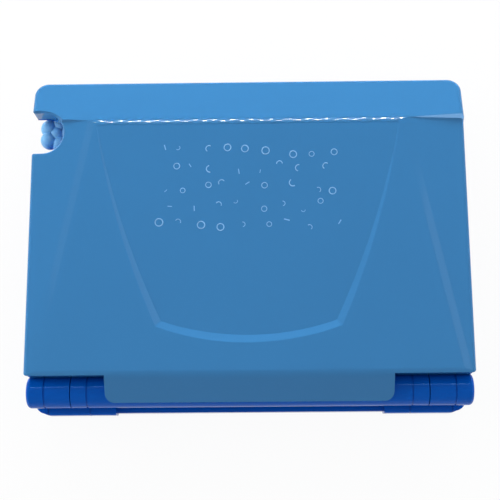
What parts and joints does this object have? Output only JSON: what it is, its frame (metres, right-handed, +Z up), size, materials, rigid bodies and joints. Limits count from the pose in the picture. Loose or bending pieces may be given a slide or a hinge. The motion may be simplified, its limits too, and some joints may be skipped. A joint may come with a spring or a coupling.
{
  "type": "toy laptop computer",
  "caption": "Closed toy laptop with a hinged blue lid that has a sunken panel, a keyboard and screen inside, and a pull-out stylus with a flower knob in a finger notch at one side.",
  "frame": {"origin": "centre of the bounding box's bottom face, on the table under the closed toy", "axes": "+X to the user's right, where the stylus is; +Y from the front edge to the hinge; +Z up"},
  "size_m": [0.25, 0.193, 0.044],
  "materials": {
    "lid_shell": "smooth moulded pale blue plastic with a soft sheen",
    "case_shell": "smooth moulded royal blue plastic",
    "key_caps": "satin off-white plastic",
    "function_caps": "satin yellow plastic",
    "control_caps": "satin orange plastic",
    "stylus_body": "smooth pale blue plastic",
    "stylus_nib": "dark grey plastic",
    "window": "clear window sheet",
    "display": "grey-green display glass in its frame",
    "silicone": "translucent grey silicone",
    "circuit": "green circuit board",
    "speaker_frame": "dark loudspeaker frame and magnet",
    "cell_jacket": "plain dark cell jacket",
    "plated_metal": "bright plated steel",
    "foot_rubber": "dark rubber"
  },
  "bodies": {
    "base": {"base_deck": "case_shell", "base_tray": "case_shell", "key_mat": "silicone", "main_board": "circuit", "control_board": "circuit", "speaker": "speaker_frame", "battery_cells": "cell_jacket", "battery_contacts": "plated_metal", "battery_door": "case_shell", "door_screw": "plated_metal", "case_screws": "plated_metal", "hinge_pins": "plated_metal", "rubber_feet": "foot_rubber"},
    "lid": {"lid_cover": "lid_shell", "lid_bezel": "case_shell", "screen_window": "window", "display_panel": "display", "lid_screws": "plated_metal", "lid_bumpers": "foot_rubber"},
    "stylus": {"stylus_knob": "stylus_body", "stylus_barrel": "stylus_body", "stylus_tip": "stylus_nib"},
    "power_button": {"power_button": "control_caps"},
    "volume_slider": {"volume_slider": "control_caps"},
    "key_q": {"key_q": "key_caps"},
    "key_w": {"key_w": "key_caps"},
    "key_e": {"key_e": "key_caps"},
    "key_r": {"key_r": "key_caps"},
    "key_t": {"key_t": "key_caps"},
    "key_y": {"key_y": "key_caps"},
    "key_u": {"key_u": "key_caps"},
    "key_i": {"key_i": "key_caps"},
    "key_o": {"key_o": "key_caps"},
    "key_p": {"key_p": "key_caps"},
    "key_a": {"key_a": "key_caps"},
    "key_s": {"key_s": "key_caps"},
    "key_d": {"key_d": "key_caps"},
    "key_f": {"key_f": "key_caps"},
    "key_g": {"key_g": "key_caps"},
    "key_h": {"key_h": "key_caps"},
    "key_j": {"key_j": "key_caps"},
    "key_k": {"key_k": "key_caps"},
    "key_l": {"key_l": "key_caps"},
    "key_z": {"key_z": "key_caps"},
    "key_x": {"key_x": "key_caps"},
    "key_c": {"key_c": "key_caps"},
    "key_v": {"key_v": "key_caps"},
    "key_b": {"key_b": "key_caps"},
    "key_n": {"key_n": "key_caps"},
    "key_m": {"key_m": "key_caps"},
    "key_erase": {"key_erase": "function_caps"},
    "key_enter": {"key_enter": "function_caps"},
    "key_up": {"key_up": "function_caps"},
    "key_menu": {"key_menu": "function_caps"},
    "key_space": {"key_space": "key_caps"},
    "key_left": {"key_left": "function_caps"},
    "key_down": {"key_down": "function_caps"},
    "key_right": {"key_right": "function_caps"}
  },
  "joints": [
    {"name": "lid_hinge", "type": "hinge", "parent": "base", "child": "lid", "pos_m": [0, 0.084, 0.027], "axis": [-1, 0, 0], "range_deg": [0, 115]},
    {"name": "stylus_slide", "type": "slide", "parent": "base", "child": "stylus", "axis": [1, 0, 0], "range_m": [0, 0.095]},
    {"name": "power_press", "type": "slide", "parent": "base", "child": "power_button", "axis": [0, 0, -1], "range_m": [0, 0.0012], "stiffness_N_per_m": 500, "springref_m": -0.001},
    {"name": "volume_move", "type": "slide", "parent": "base", "child": "volume_slider", "axis": [1, 0, 0], "range_m": [-0.007, 0.007]},
    {"name": "key_q_press", "type": "slide", "parent": "base", "child": "key_q", "axis": [0, 0, -1], "range_m": [0, 0.0016], "stiffness_N_per_m": 300, "springref_m": -0.001, "deforming": ["key_mat"]},
    {"name": "key_w_press", "type": "slide", "parent": "base", "child": "key_w", "axis": [0, 0, -1], "range_m": [0, 0.0016], "stiffness_N_per_m": 300, "springref_m": -0.001, "deforming": ["key_mat"]},
    {"name": "key_e_press", "type": "slide", "parent": "base", "child": "key_e", "axis": [0, 0, -1], "range_m": [0, 0.0016], "stiffness_N_per_m": 300, "springref_m": -0.001, "deforming": ["key_mat"]},
    {"name": "key_r_press", "type": "slide", "parent": "base", "child": "key_r", "axis": [0, 0, -1], "range_m": [0, 0.0016], "stiffness_N_per_m": 300, "springref_m": -0.001, "deforming": ["key_mat"]},
    {"name": "key_t_press", "type": "slide", "parent": "base", "child": "key_t", "axis": [0, 0, -1], "range_m": [0, 0.0016], "stiffness_N_per_m": 300, "springref_m": -0.001, "deforming": ["key_mat"]},
    {"name": "key_y_press", "type": "slide", "parent": "base", "child": "key_y", "axis": [0, 0, -1], "range_m": [0, 0.0016], "stiffness_N_per_m": 300, "springref_m": -0.001, "deforming": ["key_mat"]},
    {"name": "key_u_press", "type": "slide", "parent": "base", "child": "key_u", "axis": [0, 0, -1], "range_m": [0, 0.0016], "stiffness_N_per_m": 300, "springref_m": -0.001, "deforming": ["key_mat"]},
    {"name": "key_i_press", "type": "slide", "parent": "base", "child": "key_i", "axis": [0, 0, -1], "range_m": [0, 0.0016], "stiffness_N_per_m": 300, "springref_m": -0.001, "deforming": ["key_mat"]},
    {"name": "key_o_press", "type": "slide", "parent": "base", "child": "key_o", "axis": [0, 0, -1], "range_m": [0, 0.0016], "stiffness_N_per_m": 300, "springref_m": -0.001, "deforming": ["key_mat"]},
    {"name": "key_p_press", "type": "slide", "parent": "base", "child": "key_p", "axis": [0, 0, -1], "range_m": [0, 0.0016], "stiffness_N_per_m": 300, "springref_m": -0.001, "deforming": ["key_mat"]},
    {"name": "key_a_press", "type": "slide", "parent": "base", "child": "key_a", "axis": [0, 0, -1], "range_m": [0, 0.0016], "stiffness_N_per_m": 300, "springref_m": -0.001, "deforming": ["key_mat"]},
    {"name": "key_s_press", "type": "slide", "parent": "base", "child": "key_s", "axis": [0, 0, -1], "range_m": [0, 0.0016], "stiffness_N_per_m": 300, "springref_m": -0.001, "deforming": ["key_mat"]},
    {"name": "key_d_press", "type": "slide", "parent": "base", "child": "key_d", "axis": [0, 0, -1], "range_m": [0, 0.0016], "stiffness_N_per_m": 300, "springref_m": -0.001, "deforming": ["key_mat"]},
    {"name": "key_f_press", "type": "slide", "parent": "base", "child": "key_f", "axis": [0, 0, -1], "range_m": [0, 0.0016], "stiffness_N_per_m": 300, "springref_m": -0.001, "deforming": ["key_mat"]},
    {"name": "key_g_press", "type": "slide", "parent": "base", "child": "key_g", "axis": [0, 0, -1], "range_m": [0, 0.0016], "stiffness_N_per_m": 300, "springref_m": -0.001, "deforming": ["key_mat"]},
    {"name": "key_h_press", "type": "slide", "parent": "base", "child": "key_h", "axis": [0, 0, -1], "range_m": [0, 0.0016], "stiffness_N_per_m": 300, "springref_m": -0.001, "deforming": ["key_mat"]},
    {"name": "key_j_press", "type": "slide", "parent": "base", "child": "key_j", "axis": [0, 0, -1], "range_m": [0, 0.0016], "stiffness_N_per_m": 300, "springref_m": -0.001, "deforming": ["key_mat"]},
    {"name": "key_k_press", "type": "slide", "parent": "base", "child": "key_k", "axis": [0, 0, -1], "range_m": [0, 0.0016], "stiffness_N_per_m": 300, "springref_m": -0.001, "deforming": ["key_mat"]},
    {"name": "key_l_press", "type": "slide", "parent": "base", "child": "key_l", "axis": [0, 0, -1], "range_m": [0, 0.0016], "stiffness_N_per_m": 300, "springref_m": -0.001, "deforming": ["key_mat"]},
    {"name": "key_z_press", "type": "slide", "parent": "base", "child": "key_z", "axis": [0, 0, -1], "range_m": [0, 0.0016], "stiffness_N_per_m": 300, "springref_m": -0.001, "deforming": ["key_mat"]},
    {"name": "key_x_press", "type": "slide", "parent": "base", "child": "key_x", "axis": [0, 0, -1], "range_m": [0, 0.0016], "stiffness_N_per_m": 300, "springref_m": -0.001, "deforming": ["key_mat"]},
    {"name": "key_c_press", "type": "slide", "parent": "base", "child": "key_c", "axis": [0, 0, -1], "range_m": [0, 0.0016], "stiffness_N_per_m": 300, "springref_m": -0.001, "deforming": ["key_mat"]},
    {"name": "key_v_press", "type": "slide", "parent": "base", "child": "key_v", "axis": [0, 0, -1], "range_m": [0, 0.0016], "stiffness_N_per_m": 300, "springref_m": -0.001, "deforming": ["key_mat"]},
    {"name": "key_b_press", "type": "slide", "parent": "base", "child": "key_b", "axis": [0, 0, -1], "range_m": [0, 0.0016], "stiffness_N_per_m": 300, "springref_m": -0.001, "deforming": ["key_mat"]},
    {"name": "key_n_press", "type": "slide", "parent": "base", "child": "key_n", "axis": [0, 0, -1], "range_m": [0, 0.0016], "stiffness_N_per_m": 300, "springref_m": -0.001, "deforming": ["key_mat"]},
    {"name": "key_m_press", "type": "slide", "parent": "base", "child": "key_m", "axis": [0, 0, -1], "range_m": [0, 0.0016], "stiffness_N_per_m": 300, "springref_m": -0.001, "deforming": ["key_mat"]},
    {"name": "key_erase_press", "type": "slide", "parent": "base", "child": "key_erase", "axis": [0, 0, -1], "range_m": [0, 0.0016], "stiffness_N_per_m": 300, "springref_m": -0.001, "deforming": ["key_mat"]},
    {"name": "key_enter_press", "type": "slide", "parent": "base", "child": "key_enter", "axis": [0, 0, -1], "range_m": [0, 0.0016], "stiffness_N_per_m": 300, "springref_m": -0.001, "deforming": ["key_mat"]},
    {"name": "key_up_press", "type": "slide", "parent": "base", "child": "key_up", "axis": [0, 0, -1], "range_m": [0, 0.0016], "stiffness_N_per_m": 300, "springref_m": -0.001, "deforming": ["key_mat"]},
    {"name": "key_menu_press", "type": "slide", "parent": "base", "child": "key_menu", "axis": [0, 0, -1], "range_m": [0, 0.0016], "stiffness_N_per_m": 600, "springref_m": -0.001, "deforming": ["key_mat"]},
    {"name": "key_space_press", "type": "slide", "parent": "base", "child": "key_space", "axis": [0, 0, -1], "range_m": [0, 0.0016], "stiffness_N_per_m": 600, "springref_m": -0.001, "deforming": ["key_mat"]},
    {"name": "key_left_press", "type": "slide", "parent": "base", "child": "key_left", "axis": [0, 0, -1], "range_m": [0, 0.0016], "stiffness_N_per_m": 300, "springref_m": -0.001, "deforming": ["key_mat"]},
    {"name": "key_down_press", "type": "slide", "parent": "base", "child": "key_down", "axis": [0, 0, -1], "range_m": [0, 0.0016], "stiffness_N_per_m": 300, "springref_m": -0.001, "deforming": ["key_mat"]},
    {"name": "key_right_press", "type": "slide", "parent": "base", "child": "key_right", "axis": [0, 0, -1], "range_m": [0, 0.0016], "stiffness_N_per_m": 300, "springref_m": -0.001, "deforming": ["key_mat"]}
  ]
}
